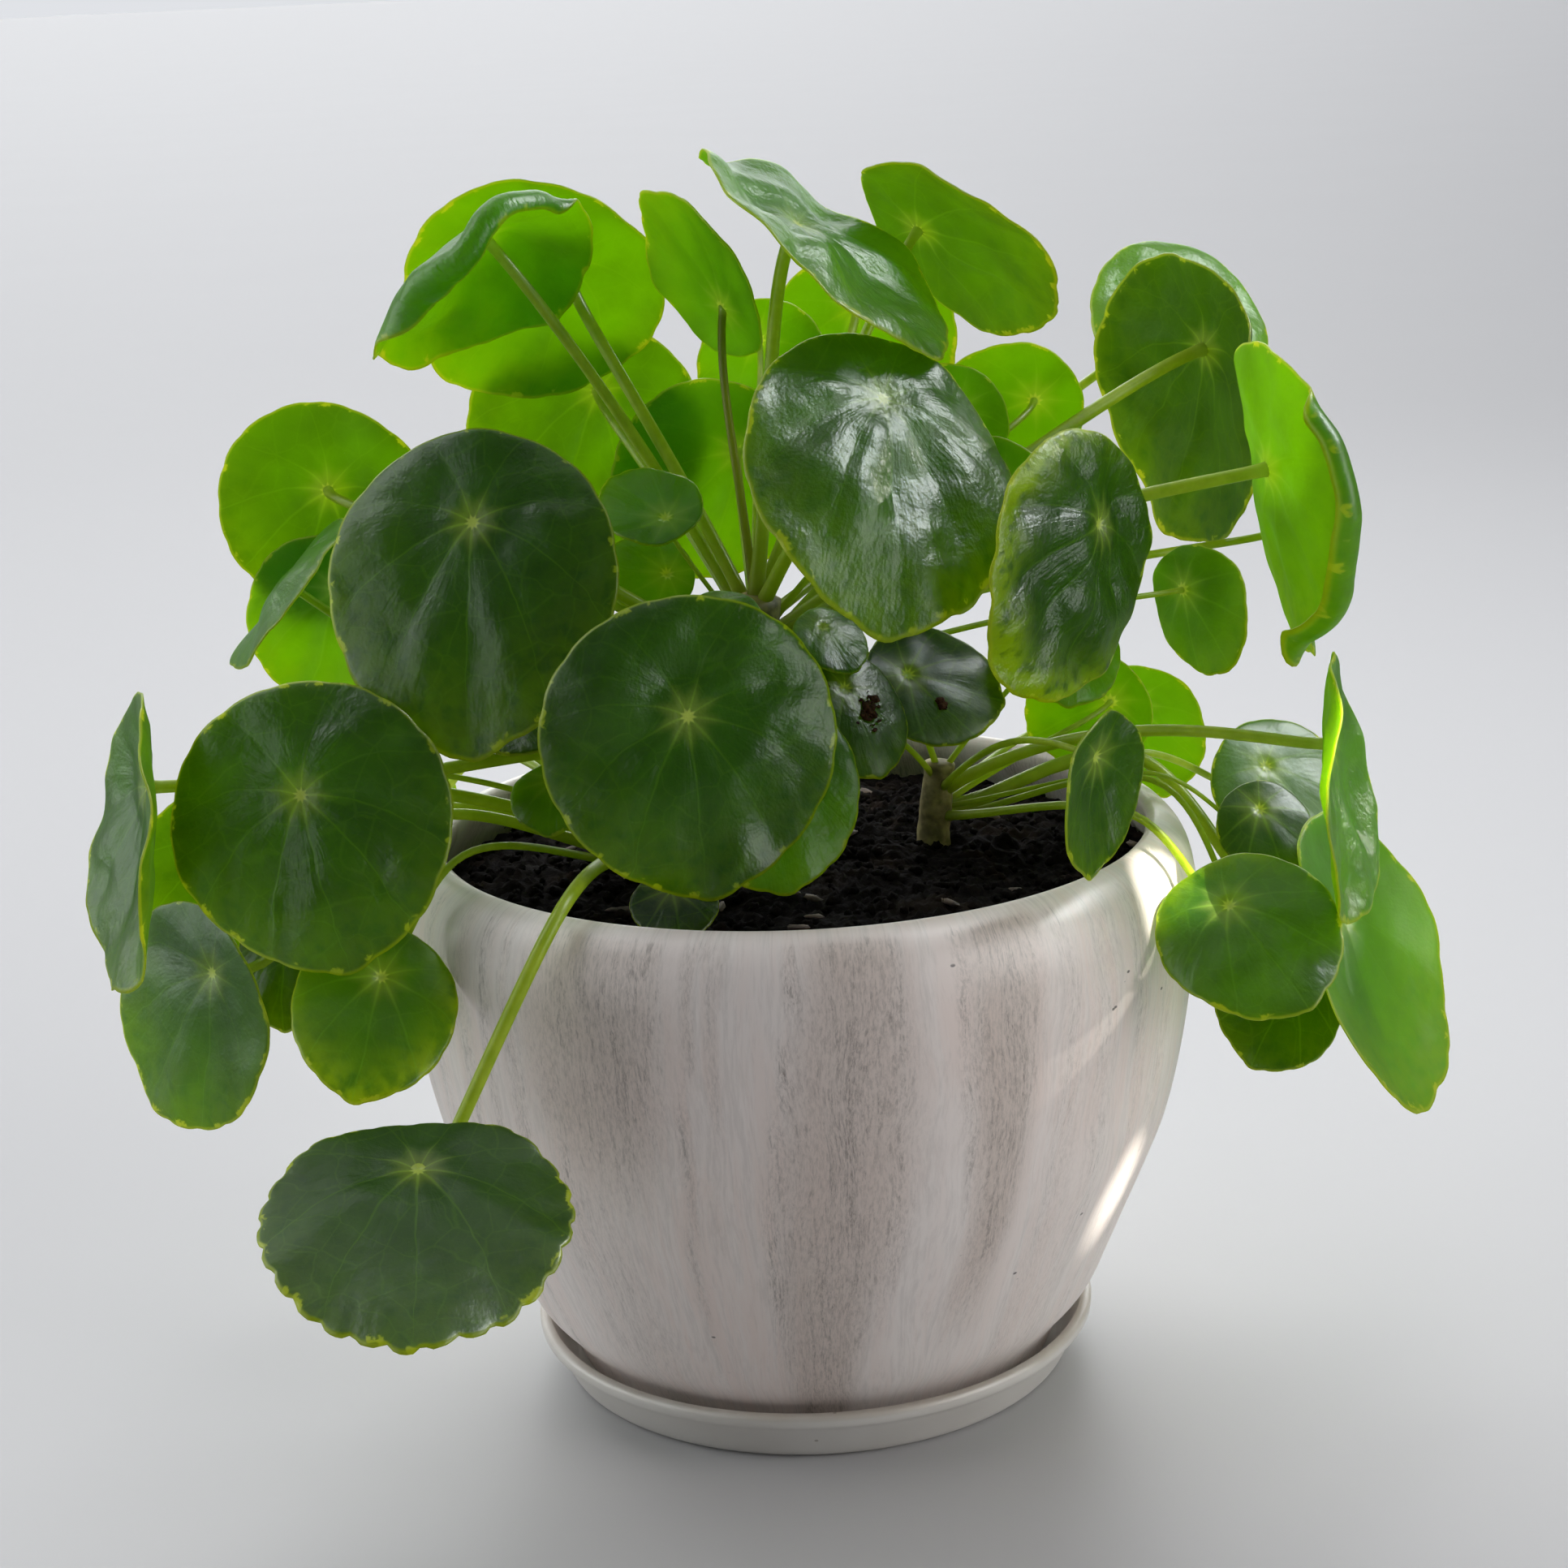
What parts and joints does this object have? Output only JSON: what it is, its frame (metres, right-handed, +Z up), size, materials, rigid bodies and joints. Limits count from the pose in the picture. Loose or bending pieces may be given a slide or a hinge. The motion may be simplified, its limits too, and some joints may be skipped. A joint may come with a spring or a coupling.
{
  "type": "potted pilea plant",
  "caption": "Potted pilea with round shield-shaped leaves on long stalks, three stems in dark soil, in a marbled off-white ceramic pot on its saucer",
  "frame": {"origin": "centre of the flat underside of the saucer, on the table", "axes": "+Z up out of the pot, -Y towards the pictured front, +X to the right of that view"},
  "size_m": [0.3302, 0.3288, 0.297],
  "materials": {
    "leaf": "satin",
    "stalk": "satin",
    "potting_soil": "matte",
    "pot_glaze": "satin",
    "saucer_glaze": "satin"
  },
  "bodies": {
    "root": {"saucer": "saucer_glaze", "pot": "pot_glaze", "soil": "potting_soil", "stem_mother": "stalk", "stem_right": "stalk", "stem_left": "stalk", "leaf_crown_left": "leaf", "leaf_crown_left_back": "leaf", "leaf_crown_spear": "leaf", "leaf_crown_blade": "leaf", "leaf_crown_right": "leaf", "leaf_front_right": "leaf", "leaf_right_front": "leaf", "leaf_front_left": "leaf", "leaf_front_middle": "leaf", "leaf_left_front": "leaf", "leaf_left_front_small": "leaf", "leaf_low_front": "leaf", "leaf_far_left": "leaf", "leaf_left_low": "leaf", "leaf_left_behind": "leaf", "leaf_left_under": "leaf", "leaf_left_back": "leaf", "leaf_left_edge": "leaf", "leaf_left_low_back": "leaf", "leaf_back_left": "leaf", "leaf_back_middle": "leaf", "leaf_back_gap_middle": "leaf", "leaf_back_gap_right": "leaf", "leaf_inner_left": "leaf", "leaf_inner_left_low": "leaf", "leaf_inner_young_left": "leaf", "leaf_inner_young_right": "leaf", "leaf_inner_front_right": "leaf", "leaf_inner_dark": "leaf", "leaf_front_middle_back": "leaf", "leaf_right_front_small": "leaf", "leaf_right_sunlit": "leaf", "leaf_right_sunlit_back": "leaf", "leaf_right_back": "leaf", "leaf_right_back_high": "leaf", "leaf_back_right_dark": "leaf", "leaf_back_right_yellow": "leaf", "leaf_inner_right": "leaf", "leaf_right_round": "leaf", "leaf_right_far_high": "leaf", "leaf_right_far_low": "leaf", "leaf_right_cluster_high": "leaf", "leaf_right_cluster_round": "leaf", "leaf_right_blade": "leaf", "leaf_far_right_low": "leaf", "leaf_right_low": "leaf", "leaf_right_low_behind": "leaf", "leaf_inner_right_low": "leaf", "leaf_inner_left_dark": "leaf", "leaf_soil_left": "leaf", "leaf_left_front_behind": "leaf", "leaf_soil_front": "leaf", "leaf_back_low": "leaf", "leaf_back_low_left": "leaf"}
  },
  "joints": []
}
